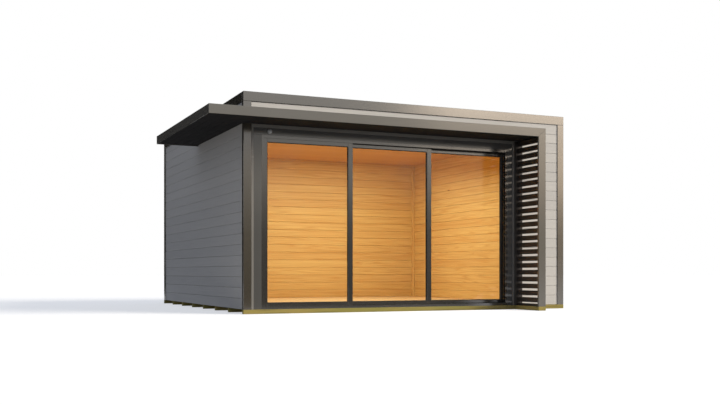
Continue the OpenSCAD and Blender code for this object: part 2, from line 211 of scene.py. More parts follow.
class Finish:
    """A tree of shader nodes: a new material's, or one that is handed over."""

    def __init__(self, name, tree=None):
        if tree is None:
            self.material = bpy.data.materials.new(name)
            self.material.use_nodes = True
            tree = self.material.node_tree
        self.tree = tree
        self.tree.nodes.clear()

    def node(self, kind, settings=None, sockets=None, out=0):
        """Adds a node: its settings first, then the values or links of its sockets."""
        made = self.tree.nodes.new("ShaderNode" + kind)
        for name, value in (settings or {}).items():
            setattr(made, name, value)
        for name, value in (sockets or {}).items():
            if isinstance(value, Value):
                self.tree.links.new(value.socket, made.inputs[name])
            else:
                made.inputs[name].default_value = value
        return Value(self, made.outputs[out]) if made.outputs else None

    def tone(self):
        """The tone of each bar or board, from 0 to 1."""
        return self.node("Attribute", {"attribute_name": "tone"}, out="Fac")

    def stretched(self, scales, apart=(0, 0, 0)):
        """Places on the piece times a scale for each axis, moved apart by each bar's tone."""
        place = self.node("TexCoord", out="Object")
        place = self.node("VectorMath", {"operation": "MULTIPLY"}, {0: place, 1: scales})
        moved = self.node("VectorMath", {"operation": "SCALE"}, {0: apart, "Scale": self.tone()})
        return self.node("VectorMath", {"operation": "ADD"}, {0: place, 1: moved})

    def noise(self, place, detail, roughness=0.5):
        """Soft noise from 0 to 1, with about one swell to each unit of place."""
        sockets = {"Vector": place, "Scale": 1.0, "Detail": detail, "Roughness": roughness}
        return self.node("TexNoise", {}, sockets)

    def ease(self, value, low, high):
        """0 below low, 1 above high, and a smooth step between."""
        settings = {"interpolation_type": "SMOOTHSTEP"}
        return self.node("MapRange", settings, {"Value": value, "From Min": low, "From Max": high})

    def blend(self, share, first, second):
        """A colour between two others."""
        sockets = {"Factor": share, 6: first, 7: second}
        return self.node("Mix", {"data_type": "RGBA"}, sockets, out=2)

    def near_joint(self, axis, first, pitch, reach):
        """1 at the joints of boards laid at a pitch from a first edge, 0 beyond a reach."""
        place = self.node("TexCoord", out="Object")
        place = self.node("SeparateXYZ", {}, {0: place}, out=axis)
        off = place.math("PINGPONG", place - first, pitch / 2)
        return 1 - self.ease(off, 0.0, reach)

    def bump(self, height, distance):
        """Normals of a height of 0 to 1 that is distance deep."""
        return self.node("Bump", {}, {"Height": height, "Distance": distance})

    def ended(self, shader):
        """Ends the tree in a shader, and gives the material."""
        self.node("OutputMaterial", {}, {"Surface": shader})
        return self.material

    def surface(self, **sockets):
        """Ends the tree in one surface of the given sockets, and gives the material."""
        sockets = {name.replace("_", " "): value for name, value in sockets.items()}
        return self.ended(self.node("BsdfPrincipled", {}, sockets))


def rgb(red, green, blue):
    """A colour as the nodes take it, in linear light."""
    return (red, green, blue, 1.0)


def by_axis(along, along_value, other_value):
    """Three values: one for the given axis, and another for the other two."""
    return tuple(along_value if axis == along else other_value for axis in (X, Y, Z))


def treated_timber(along):
    """Sawn softwood with a green treatment: streaks along the grain, uneven colour."""
    wood = Finish("treated_timber_" + "xyz"[along])
    streaks = wood.noise(wood.stretched(by_axis(along, 2.5, 55.0), (7, 5, 3)), detail=4.0)
    uptake = wood.noise(wood.stretched(by_axis(along, 0.9, 6.0), (3, 9, 4)), detail=2.0)
    soaked = wood.ease(uptake, 0.35, 0.65)
    colour = wood.blend(soaked, rgb(0.240, 0.215, 0.055), rgb(0.300, 0.235, 0.070))
    colour = wood.blend(wood.ease(streaks, 0.5, 0.75) * 0.6, colour, rgb(0.150, 0.120, 0.040))
    rough = streaks * 0.2 + 0.7
    return wood.surface(Base_Color=colour, Roughness=rough, Normal=wood.bump(streaks, 0.0015))


bearer_round = 0.003
bearers = bars("floor_bearers", bearer_round)
piece("bearers", bearers, treated_timber(X), "treated_timber", "building", "floor_bearers")


# Wall frames and decks: stud frames, header and boarded decks of planed softwood. Boards,
# sheets and trims cover them on every side.
def planed_timber():
    """Planed softwood, pale, with soft grain."""
    wood = Finish("planed_timber")
    grain = wood.noise(wood.stretched((9.0, 9.0, 2.0)), detail=5.0)
    colour = wood.blend(grain, rgb(0.66, 0.47, 0.27), rgb(0.52, 0.35, 0.18))
    return wood.surface(Base_Color=colour, Roughness=grain * 0.2 + 0.55)


def clothe(finish, *names):
    """Gives a finish to solids that are shown as they were set out."""
    for name in names:
        for place in nodes[name].material_slots:
            place.link = "OBJECT"
            place.material = finish


clothe(
    planed_timber(),
    "left_wall", "right_wall", "back_wall", "front_left_post", "front_right_wall",
    "front_header", "roof_deck", "canopy_deck",
)


# Inner boards: planed pine, tongued and grooved with a small V at each joint, laid level on
# the walls, across the ceiling and on the floor, and varnished to a warm satin.
board_round = 0.0008


def board(along, start, end, across_axis, low, high, face, inward, thick, bevel, gap):
    """One board: a flat face with a bevel along both edges, carried along its length."""
    low, high = low + gap / 2, high - gap / 2
    section = np.array([
        (face + inward * bevel, low),
        (face, low + bevel),
        (face, high - bevel),
        (face + inward * bevel, high),
        (face + inward * thick, high),
        (face + inward * thick, low),
    ])
    if across_axis == (along + 1) % 3:
        section = section[:, ::-1]
    return carried(section, along, start, end, board_round, steps=2)


def edges(low, high, first, pitch, least=0.03):
    """Board edges at a steady pitch from low to high, with no strip narrower than least."""
    lines = first + pitch * np.arange(np.ceil((high - first) / pitch) + 1)
    inside = lines[(lines > low + least) & (lines < high - least)]
    return np.concatenate([[low], inside, [high]])


def pine(name, along, across_axis, first, light, dark):
    """Varnished pine: contours of a stretched noise for the year rings, and oval knots.

    The rings bend round the knots, because each knot adds a hill to the noise.
    """
    wood = Finish(name)
    apart = (17.0, 23.0, 31.0)
    cells = [0.0, 0.0, 0.0]
    cells[along] = 1.3
    cells[across_axis] = 2.6
    spots = {"Vector": wood.stretched(tuple(cells), (5.3, 7.1, 3.7)), "Scale": 1.0}
    off_knot = wood.node("TexVoronoi", {"feature": "F1"}, spots)
    chance = wood.node("TexWhiteNoise", {"noise_dimensions": "3D"}, {
        "Vector": wood.node("TexVoronoi", {"feature": "F1"}, spots, out="Position"),
    })
    size = wood.ease(chance, 0.45, 0.95) * 0.028 + 0.006
    knot = 1 - wood.ease(off_knot / size, 0.6, 1.15)
    hill = 1 - wood.ease(off_knot / size, 0.2, 5.0)
    long_grain = wood.noise(wood.stretched(by_axis(along, 0.34, 11.0), apart), detail=1.5)
    rings = (long_grain + hill * 0.25) * 70.0
    rings = rings.math("SINE", rings) * 0.5 + 0.5
    fibre = wood.noise(wood.stretched(by_axis(along, 1.6, 150.0), apart), detail=3.0)
    colour = wood.blend(wood.tone(), rgb(*light), rgb(*dark))
    colour = wood.blend(rings ** 3 * 0.44, colour, rgb(0.58, 0.285, 0.065))
    colour = wood.blend(wood.ease(fibre, 0.45, 0.75) * 0.5, colour, rgb(0.56, 0.285, 0.075))
    colour = wood.blend(hill ** 3 * 0.5, colour, rgb(0.58, 0.27, 0.06))
    colour = wood.blend(knot * 0.85, colour, rgb(0.24, 0.095, 0.025))
    # Each joint darkens the wood beside it: painted shade in the V between the boards.
    joints = wood.near_joint(across_axis, first, inner_pitch, 2 * inner_bevel)
    colour = wood.blend(joints * 0.12, colour, rgb(0.25, 0.11, 0.03))
    rough = fibre * 0.15 + 0.38
    height = fibre * 0.6 + rings * 0.4
    normal = wood.bump(height, 0.0004)
    return wood.surface(Base_Color=colour, Roughness=rough, Specular_IOR_Level=0.3, Normal=normal)


inner_pitch = 0.1197
inner_bevel = 0.0035
inner_gap = 0.0014
inner_least = 0.02
floor_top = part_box("floor_boards")[1].z


def inner_boards(node, along, face_axis, inward):
    """Level boards over the height of each solid of a lining, with faces to the room."""
    made = []
    for low, high in solids(node):
        face = low[face_axis] if inward > 0 else high[face_axis]
        thick = high[face_axis] - low[face_axis]
        ends = low[along], high[along]
        lines = edges(low[Z], high[Z], floor_top, inner_pitch, inner_least)
        made += [
            board(along, *ends, Z, a, b, face, inward, thick, inner_bevel, inner_gap)
            for a, b in zip(lines, lines[1:])
        ]
    return made


honey = ((0.81, 0.565, 0.200), (0.75, 0.485, 0.165))
# The ceiling's pine is a darker, redder copy of the walls' pine: painted shade, for a ceiling lit only
# by light thrown back from the wood.
shaded_amber = ((0.65, 0.345, 0.058), (0.60, 0.30, 0.046))
straw = ((0.765, 0.57, 0.285), (0.72, 0.52, 0.245))
pine_xz = pine("pine_across", X, Z, floor_top, *honey)
pine_yz = pine("pine_deep", Y, Z, floor_top, *honey)
# The ceiling's darker pine is painted shade.
pine_up = pine("pine_ceiling_shaded", X, Y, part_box("ceiling_lining")[0].y, *shaded_amber)
pine_floor = pine("pine_floor", X, Y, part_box("floor_boards")[0].y, *straw)
lining = ("lining_timber", "building")
piece("left_inner_boards", inner_boards("left_lining", Y, X, -1), pine_yz, *lining, "left_lining")
piece("right_inner_boards", inner_boards("right_lining", Y, X, 1), pine_yz, *lining, "right_lining")
piece("back_inner_boards", inner_boards("back_lining", X, Y, 1), pine_xz, *lining, "back_lining")
piece("front_inner_boards", inner_boards("front_lining", X, Y, -1), pine_xz, *lining, "front_lining")


def flat_boards(node, face_up, pitch, bevel, gap):
    """Boards side by side over each solid of a floor, ceiling or soffit, along its length."""
    made = []
    for low, high in solids(node):
        along = int(np.argmax(high - low))
        side = Y if along == X else X
        ends = low[along], high[along]
        face, inward = (high[Z], -1) if face_up else (low[Z], 1)
        thick = high[Z] - low[Z]
        lines = edges(low[side], high[side], low[side], pitch)
        made += [
            board(along, *ends, side, a, b, face, inward, thick, bevel, gap)
            for a, b in zip(lines, lines[1:])
        ]
    return made


ceiling = flat_boards("ceiling_lining", False, inner_pitch, inner_bevel, inner_gap)
piece("ceiling_boards", ceiling, pine_up, *lining, "ceiling_lining")
plank_bevel = 0.0015
plank_gap = 0.0008
planks = flat_boards("floor_boards", True, inner_pitch, plank_bevel, plank_gap)
piece("floor_planks", planks, pine_floor, "floor_timber", "building", "floor_boards")

# Corner battens: square pine strips that cover the joint of the boards in each corner of
# the room, from the floor to the ceiling.
batten = 0.034
batten_round = 0.004
room_low, room_high = np.array(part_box("floor_boards"))
ceiling_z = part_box("ceiling_lining")[0].z
battens = [
    bar((x, y, floor_top), (x + batten, y + batten, ceiling_z), Z, batten_round)
    for x in (room_low[X], room_high[X] - batten)
    for y in (room_low[Y], room_high[Y] - batten)
]
batten_pine = pine("pine_battens", Z, X, room_low[X] - inner_pitch / 2, *honey)
piece("corner_battens", battens, batten_pine, *lining)


# Outer boards: planed softwood, bevelled to a V at each joint, laid level and painted a pale
# warm grey. The uppermost boards are cut to the fall of the roof.
outer_pitch = 0.1228
outer_bevel = 0.004
outer_gap = 0.001
boards_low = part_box("left_cladding")[0].z
roof_drop = 0.050
roof_run = 4.1
roof_fall = roof_drop / roof_run
front_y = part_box("front_trims")[0].y


def painted_boards(along):
    """Pale grey paint: each board a shade of its own, and the grain just felt through it."""
    paint = Finish("painted_boards_" + "xyz"[along])
    grain = paint.noise(paint.stretched(by_axis(along, 1.5, 130.0), (11, 13, 17)), detail=4.0)
    cloud = paint.noise(paint.stretched(by_axis(along, 0.8, 4.0), (3, 5, 7)), detail=2.0)
    colour = paint.blend(paint.tone(), rgb(0.535, 0.518, 0.490), rgb(0.485, 0.472, 0.450))
    colour = paint.blend(paint.ease(grain, 0.45, 0.8) * 0.35, colour, rgb(0.36, 0.355, 0.345))
    colour = paint.blend(paint.ease(cloud, 0.3, 0.7) * 0.12, colour, rgb(0.40, 0.39, 0.375))
    # Each joint darkens the paint beside it: painted shade in the V between the boards.
    joints = paint.near_joint(Z, boards_low, outer_pitch, 1.5 * outer_bevel)
    colour = paint.blend(joints * 0.12, colour, rgb(0.16, 0.155, 0.15))
    rough = cloud * 0.15 + 0.5
    return paint.surface(Base_Color=colour, Roughness=rough, Normal=paint.bump(grain, 0.0006))


def roof_edge(low, high):
    """Heights of the falling roof edge over a solid, as a function of points."""
    return lambda points: high[Z] - roof_fall * (points[:, Y] - low[Y])


def outer_boards(node, along, face_axis, inward):
    """Level boards over each solid of the cladding, the last cut to the falling roof edge."""
    made = []
    for low, high in solids(node):
        face = low[face_axis] if inward > 0 else high[face_axis]
        thick = high[face_axis] - low[face_axis]
        ends = low[along], high[along]
        lines = edges(low[Z], high[Z], boards_low, outer_pitch)
        made += [
            board(along, *ends, Z, a, b, face, inward, thick, outer_bevel, outer_gap)
            for a, b in zip(lines, lines[1:])
        ]
        made[-1] = cut(made[-1], Z, *lines[-2:], roof_edge(low, high))
    return made


paint_x = painted_boards(X)
paint_y = painted_boards(Y)
grey = ("grey_boards", "building")
piece("left_boards", outer_boards("left_cladding", Y, X, 1), paint_y, *grey, "left_cladding")
piece("right_boards", outer_boards("right_cladding", Y, X, -1), paint_y, *grey, "right_cladding")
piece("back_boards", outer_boards("back_cladding", X, Y, -1), paint_x, *grey, "back_cladding")
piece("front_boards", outer_boards("front_cladding", X, Y, 1), paint_x, *grey, "front_cladding")


# Corner trims: angle sections round the four corners, with a wide and a narrow leg, coated a
# dark grey-brown satin and cut at the top to the fall of the roof.
trim_t = 0.028
trim_round = 0.003


def dark_coat(name, colour, rough, index, streak):
    """Satin coat over metal: fine dimples, a gloss that drifts along its streaks, and dust.

    The dust lies on faces that look up, and dulls them.
    """
    coat = Finish(name)
    drift = coat.noise(coat.stretched(streak, (5, 3, 8)), detail=3.0)
    cloud = coat.noise(coat.stretched((1.3, 1.3, 1.3), (2, 4, 6)), detail=2.0)
    dimples = coat.noise(coat.stretched((180.0, 180.0, 180.0)), detail=1.0)
    darker = tuple(channel * 0.75 for channel in colour)
    tint = coat.blend(cloud, rgb(*colour), rgb(*darker))
    facing = coat.node("TexCoord", out="Normal")
    dust = coat.ease(coat.node("SeparateXYZ", {}, {0: facing}, out=Z), 0.6, 0.95)
    gloss = drift * 0.05 + cloud * 0.05 + (rough - 0.05) + dust * (0.75 - rough)
    normal = coat.bump(dimples, 0.00002)
    return coat.surface(Base_Color=tint, Roughness=gloss, IOR=index, Normal=normal)


level_streak = (0.6, 0.6, 5.0)
grey_coat = dark_coat("grey_coat", (0.060, 0.051, 0.036), 0.17, 2.25, level_streak)


def angle_trims(node):
    """L sections on end: the leg along x and the leg along y, meeting at the outer corner."""
    made = []
    near = 0.001
    box_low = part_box(node)[0]
    for low, high in solids(node):
        left = np.isclose(low[X], box_low[X], atol=near)
        front = np.isclose(low[Y], front_y, atol=near)
        out_x, in_x = (low[X], high[X]) if left else (high[X], low[X])
        out_y, in_y = (low[Y], high[Y]) if front else (high[Y], low[Y])
        side_x = trim_t if left else -trim_t
        side_y = trim_t if front else -trim_t
        section = [
            (out_x, out_y), (in_x, out_y), (in_x, out_y + side_y),
            (out_x + side_x, out_y + side_y), (out_x + side_x, in_y), (out_x, in_y),
        ]
        leg = carried(section, Z, low[Z], high[Z], trim_round)
        made.append(cut(leg, Z, low[Z], high[Z], roof_edge(low, high)))
    return made


trim = ("grey_trim", "building")
piece("front_corner_trims", angle_trims("front_trims"), grey_coat, *trim, "front_trims")
piece("back_corner_trims", angle_trims("back_trims"), grey_coat, *trim, "back_trims")


# Roof sheets: black rubber, laid loose over the decks from edge to edge. It lies in low
# ripples where it relaxed, and is held flat under the copings and at the walls.
def rippled(low, high, fall, held):
    """A sheet whose top dips in ripples, over a flat underside.

    The dip is ripple * fade * (0.5 + waves / 8). Waves is a sum of four products, each of two
    sines across one another, of four lengths and directions. Fade goes from 0 where the sheet
    is held, along its edges, to 1.
    """
    ripple = 0.0016
    step = 0.035
    fade_in = 0.12
    counts = [max(int((high[axis] - low[axis]) / step), 8) for axis in (X, Y)]
    x = np.linspace(low[X], high[X], counts[0])[:, None]
    y = np.linspace(low[Y], high[Y], counts[1])[None, :]
    lengths = np.array([0.9, 0.63, 0.41, 0.27])
    turns = np.array([0.3, 1.2, 2.1, 2.7])
    phases = draw.random((2, 4)) * 2 * np.pi
    waves = sum(
        np.sin(2 * np.pi / a * (x * np.cos(t) + y * np.sin(t)) + p)
        * np.sin(2 * np.pi / (2.3 * a) * (y * np.cos(t) - x * np.sin(t)) + q)
        for a, t, p, q in zip(lengths, turns, *phases)
    )
    edge = np.minimum(np.minimum(x - low[X], high[X] - x), np.minimum(y - low[Y], high[Y] - y))
    fade = np.clip((edge - held) / fade_in, 0, 1)
    dip = ripple * fade * (0.5 + waves / 8)
    top = np.stack(np.broadcast_arrays(x, y, high[Z] - fall * (y - low[Y]) - dip), -1)
    under = top.copy()
    under[..., Z] = low[Z] + fall * (high[Y] - low[Y]) - fall * (y - low[Y])
    return wrapped(top, under)


def wrapped(top, under):
    """A closed sheet of two grids, joined along their edges."""
    rows, columns = top.shape[:2]
    number = np.arange(rows * columns).reshape(rows, columns)
    upper = np.stack([number[:-1, :-1], number[1:, :-1], number[1:, 1:], number[:-1, 1:]], -1)
    lower = rows * columns + upper[..., ::-1]
    rim = np.concatenate([number[:-1, 0], number[-1, :-1], number[:0:-1, -1], number[0, :0:-1]])
    after = np.roll(rim, -1)
    sides = np.stack([rim, rim + rows * columns, after + rows * columns, after], -1)
    faces = [grid.reshape(-1, 4) for grid in (upper, lower, sides)]
    smooth = np.repeat([True, False, False], [len(grid) for grid in faces])
    return np.concatenate([top, under]).reshape(-1, 3), np.concatenate(faces).tolist(), smooth


def rubber():
    """Black rubber sheet with a dusty bloom and a fine pebble."""
    sheet = Finish("rubber")
    bloom = sheet.noise(sheet.stretched((1.4, 1.4, 1.4)), detail=5.0, roughness=0.6)
    pebble = sheet.noise(sheet.stretched((260.0, 260.0, 260.0)), detail=2.0)
    dusty = sheet.ease(bloom, 0.35, 0.7)
    colour = sheet.blend(dusty, rgb(0.036, 0.037, 0.038), rgb(0.050, 0.050, 0.049))
    rough = bloom * 0.1 + 0.8
    normal = sheet.bump(pebble, 0.0002)
    return sheet.surface(Base_Color=colour, Roughness=rough, Specular_IOR_Level=0.2, Normal=normal)


rubber_sheet = rubber()
roofing = ("roof_rubber", "building")
roof_low, roof_high = np.array(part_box("roof_sheet"))
roof_held = 0.06
roof_cover = rippled(roof_low, roof_high, roof_fall, roof_held)
piece("roof_rubber", [roof_cover], rubber_sheet, *roofing, "roof_sheet")

canopy_held = 0.02
canopy_low, canopy_high = np.array(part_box("canopy_sheet_cover"))
arm_high = (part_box("left_cladding")[0].x, canopy_high[Y], canopy_high[Z])
front_arm = rippled(canopy_low, (canopy_high[X], front_y, canopy_high[Z]), 0.0, canopy_held)
side_arm = rippled((canopy_low[X], front_y, canopy_low[Z]), arm_high, 0.0, canopy_held)
piece("canopy_rubber", [front_arm, side_arm], rubber_sheet, *roofing, "canopy_sheet_cover")


# Copings: coated sections that cap the roof edge, each a face down the wall and a cap over
# the edge of the rubber. The sides fall to the back, and the ends butt at the corners.
cap_h = 0.040
coping_round = 0.003
coping_seam = 0.0005
coping_low, coping_high = np.array(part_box("front_coping"))
coping_w = coping_high[Y] - coping_low[Y]
coping_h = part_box("front_coping")[1].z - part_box("front_trims")[1].z - coping_seam


def fallen(shape):
    """The shape with its heights lowered by the fall of the roof."""
    points, faces, smooth = shape
    points = points.copy()
    points[:, Z] -= roof_fall * (points[:, Y] - front_y)
    return points, faces, smooth


def coping_section(outer, inward):
    """Face and cap, seen along the coping: places from the outer face, heights to the top."""
    top = coping_high[Z]
    return [
        (outer, top - coping_h), (outer + inward * trim_t, top - coping_h),
        (outer + inward * trim_t, top - cap_h), (outer + inward * coping_w, top - cap_h),
        (outer + inward * coping_w, top), (outer, top),
    ]


back_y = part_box("back_coping")[1].y
left_x, right_x = coping_low[X], coping_high[X]
across_coping = [
    fallen(carried(coping_section(y, inward), X, left_x, right_x, coping_round))
    for y, inward in ((front_y, 1), (back_y, -1))
]
side_copings = []
for x, inward in ((left_x, 1), (right_x, -1)):
    section = [(z, place) for place, z in coping_section(x, inward)]
    ends = front_y + coping_w, back_y - coping_w
    side_copings.append(fallen(carried(section, Y, *ends, coping_round)))
    for start, end in ((front_y + trim_t, ends[0]), (ends[1], back_y - trim_t)):
        low = (min(x, x + inward * trim_t), start, coping_high[Z] - coping_h)
        high = (max(x, x + inward * trim_t), end, coping_high[Z] - cap_h)
        side_copings.append(fallen(bar(low, high, Y, coping_round)))
piece("coping_front", across_coping[:1], grey_coat, *trim, "front_coping")
piece("coping_back", across_coping[1:], grey_coat, *trim, "back_coping")
piece("coping_sides", side_copings, grey_coat, *trim, "side_copings")


# Canopy: dark boards under a deck that wraps the front left corner, edged with coated
# fascias whose faces that look down take the boards' black stain as painted shade. The
# front fascia is mitred at its right end to the post of the fin.
soffit_pitch = 0.0985
soffit_bevel = 0.003
soffit_gap = 0.001


def black_stain_and_shade():
    """Matt black stain, worn a little paler in patches; on the faces under the fascias it is painted
    shade.
    """
    stain = Finish("black_stain_and_shade")
    wear = stain.noise(stain.stretched((14.0, 14.0, 14.0), (3, 5, 7)), detail=4.0)
    worn = stain.ease(wear, 0.4, 0.8)
    colour = stain.blend(worn, rgb(0.013, 0.012, 0.012), rgb(0.024, 0.022, 0.021))
    return stain.surface(Base_Color=colour, Roughness=wear * 0.1 + 0.85, Specular_IOR_Level=0.12)


def shade_painted_underneath(fascias):
    """Gives the faces that look down, with normals steeper than 45 degrees, the black stain as painted
    shade.
    """
    mesh = fascias.data
    mesh.materials.append(stain_and_shade_black)
    normals = np.empty(3 * len(mesh.polygons))
    mesh.polygons.foreach_get("normal", normals)
    looks_down = normals.reshape(-1, 3)[:, Z] < -np.sqrt(0.5)
    mesh.polygons.foreach_set("material_index", looks_down.astype(np.int32))


stain_and_shade_black = black_stain_and_shade()
soffit = flat_boards("canopy_soffit", False, soffit_pitch, soffit_bevel, soffit_gap)
piece("soffit_boards", soffit, stain_and_shade_black, "dark_trim", "building", "canopy_soffit")

post_low, post_high = np.array(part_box("fin_front_post"))
fascia_low, fascia_high = np.array(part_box("canopy_front_fascia"))
mitre = (post_high[X] - post_low[X]) / (fascia_high[Z] - fascia_low[Z])
fascia_round = 0.004
canopy_coat = dark_coat("canopy_coat", (0.120, 0.112, 0.096), 0.17, 1.75, level_streak)
front_fascia = cut(
    bar(fascia_low, fascia_high, X, fascia_round), X, fascia_low[X], fascia_high[X],
    lambda p: post_low[X] + mitre * (p[:, Z] - fascia_low[Z]),
)
# Painted shade: the faces of the fascias that look down take the black stain.
shade_painted_underneath(piece("fascia_front", [front_fascia], canopy_coat, *trim, "canopy_front_fascia"))
side_fascias = bars("canopy_side_fascias", fascia_round)
shade_painted_underneath(piece("fascia_sides", side_fascias, canopy_coat, *trim, "canopy_side_fascias"))


# Louvred fin: a coated post under the canopy and another on the wall, dark slats between them
# on a bottom rail, all standing on a plate of treated timber.
sole_low, sole_high = np.array(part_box("fin_sole_plate"))
sole = bar(sole_low, sole_high, Y, bearer_round)
piece("sole_plate", [sole], treated_timber(Y), "treated_timber", "building", "fin_sole_plate")
front_post = cut(
    bar(post_low, post_high, Z, fascia_round), Z, post_low[Z], post_high[Z],
    lambda p: fascia_low[Z] + (p[:, X] - post_low[X]) / mitre,
)
piece("front_post", [front_post], canopy_coat, *trim, "fin_front_post")
slat_round = 0.004
slats = bars("fin_slats", slat_round)
slat_coat = dark_coat("slat_coat", (0.020, 0.016, 0.014), 0.55, 1.45, (9.0, 1.5, 9.0))
piece("slats", slats, slat_coat, "dark_trim", "building", "fin_slats")
wall_post = bar(*np.array(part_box("fin_wall_side_post")), Z, trim_round)
piece("wall_post", [wall_post], slat_coat, "dark_trim", "building", "fin_wall_side_post")


# Door surround and lining: coated flats round the opening. The surround frames it on the
# face of the boards, and the lining turns into the wall as far as the door frame.
flat_round = 0.002
surround = bars("door_surround", flat_round)
pale_coat = dark_coat("pale_coat", (0.205, 0.195, 0.178), 0.26, 1.6, level_streak)
piece("surround", surround, pale_coat, *trim, "door_surround")
reveal = bars("door_lining", flat_round)
lining_coat = dark_coat("lining_coat", (0.092, 0.091, 0.087), 0.12, 1.75, (3.0, 3.0, 9.0))
piece("reveal_lining", reveal, lining_coat, "dark_trim", "building", "door_lining")


# Door frame: extruded head, cill and jambs with three grooves, coated to match. The cill
# has a rail in each groove for the wheels.
frame_coat = dark_coat("frame_coat", (0.038, 0.035, 0.030), 0.15, 2.2, (1.0, 1.0, 5.0))
clothe(frame_coat, "door_head_track", "door_cill_track", "door_jambs")


# Sashes: two stiles and two rails each, grooved for the glass. The left one is fixed in the
# front track on two blocks, and the other two run on wheels behind it, with a weather bar
# on the back of a stile where the next one meets it.
sash_t = 0.028
glass_in = 0.010
groove_deep = 0.013
bottom_rail = 0.058
hairline = 0.0005
sash_round = 0.0015
wheel_r = 0.014
wheel_w = 0.010
wheel_in = 0.160
wheel_z = 0.0593
small_round = 0.001
seal_w = 0.005
seal_room = 0.005


def grooved(low, high, axis, side, toward, pane_low, pane_high):
    """A bar with a groove for the glass along one face: an outline with a notch."""
    edge = high[side] if toward > 0 else low[side]
    back = low[side] if toward > 0 else high[side]
    deep = edge - toward * groove_deep
    section = np.array([
        (back, low[Y]), (edge, low[Y]), (edge, pane_low), (deep, pane_low),
        (deep, pane_high), (edge, pane_high), (edge, high[Y]), (back, high[Y]),
    ])
    if axis == X:
        section = section[:, ::-1]
    return carried(section, axis, low[axis], high[axis], sash_round)


def wheel(x, y, z):
    """A turned wheel: a ring of points on a circle, carried along its axle."""
    turn = np.linspace(0, 2 * np.pi, 24, endpoint=False)
    ring = np.stack([z + wheel_r * np.cos(turn), x + wheel_r * np.sin(turn)], -1)
    return carried(ring, Y, y - wheel_w / 2, y + wheel_w / 2, small_round, steps=2)


def sash(name, glass, body, rolls):
    """Stiles, rails, wheels or blocks, and weather bar of one sash, round its glass."""
    low, high = np.array(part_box(name))
    pane_low, pane_high = np.array(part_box(glass))
    back = low[Y] + sash_t
    foot = pane_low[Z] + glass_in - bottom_rail
    inner = pane_low[X] + glass_in, pane_high[X] - glass_in
    sill, lintel = pane_low[Z] + glass_in, pane_high[Z] - glass_in
    depth = pane_low[Y], pane_high[Y]
    made = [
        grooved((low[X], low[Y], foot), (inner[0], back, high[Z]), Z, X, 1, *depth),
        grooved((inner[1], low[Y], foot), (high[X], back, high[Z]), Z, X, -1, *depth),
    ]
    rail_low, rail_high = inner[0] + hairline, inner[1] - hairline
    made += [
        grooved((rail_low, low[Y], foot), (rail_high, back, sill), X, Z, 1, *depth),
        grooved((rail_low, low[Y], lintel), (rail_high, back, high[Z]), X, Z, -1, *depth),
    ]
    middle = low[Y] + sash_t / 2
    for x in (low[X] + wheel_in, high[X] - wheel_in):
        if rolls:
            made.append(wheel(x, middle, wheel_z + wheel_r))
        else:
            block_low = (x - wheel_r, middle - wheel_w / 2, low[Z])
            block_high = (x + wheel_r, middle + wheel_w / 2, foot)
            made.append(bar(block_low, block_high, X, small_round))
    if high[Y] - back > hairline:
        seal_x = (inner[1] + high[X]) / 2
        seal_low = (seal_x - seal_w / 2, back, cill_top + seal_room)
        seal_high = (seal_x + seal_w / 2, high[Y], head_low - seal_room)
        made.append(bar(seal_low, seal_high, Z, small_round))
    piece(name.replace("_sash", "_stiles_and_rails"), made, frame_coat, "door_frame", body, name)


cill_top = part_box("door_jambs")[0].z
head_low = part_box("door_jambs")[1].z
sashes = (("fixed", "building"), ("middle", "middle_door"), ("lead", "lead_door"))
for name, body in sashes:
    sash(name + "_sash", name + "_glass", body, rolls=name != "fixed")


# Glass: clear sealed units, held in the grooves of the sashes by black rubber beads that
# run round both faces.
def clear_glass():
    """Glass that lets light straight through, and reflects more towards the edge of sight.

    The share that it reflects is square_on + (1 - square_on) * (1 - cos a) ** 5, where a is
    the angle of sight off square, and it is the same from both sides of a face.
    """
    square_on = 0.019
    glass = Finish("clear_glass")
    clear = glass.node("BsdfTransparent", {}, {"Color": rgb(0.965, 0.985, 0.975)})
    mirror = glass.node("BsdfGlossy", {}, {"Color": rgb(1.0, 1.0, 1.0), "Roughness": 0.0})
    smear = glass.noise(glass.stretched((2.0, 2.0, 0.9)), detail=3.0)
    slant = glass.node("LayerWeight", {}, {"Blend": 0.5}, out="Facing")
    share = slant ** 5 * (1 - square_on) + square_on + glass.ease(smear, 0.5, 0.8) * 0.012
    return glass.ended(glass.node("MixShader", {}, {0: share, 1: clear, 2: mirror}))


def bead_rubber():
    """Black rubber with a faint drag along its length."""
    rubber_bead = Finish("bead_rubber")
    drag = rubber_bead.noise(rubber_bead.stretched((30.0, 300.0, 30.0)), detail=2.0)
    colour = rubber_bead.blend(drag, rgb(0.014, 0.014, 0.015), rgb(0.026, 0.026, 0.026))
    return rubber_bead.surface(Base_Color=colour, Roughness=drag * 0.2 + 0.5)


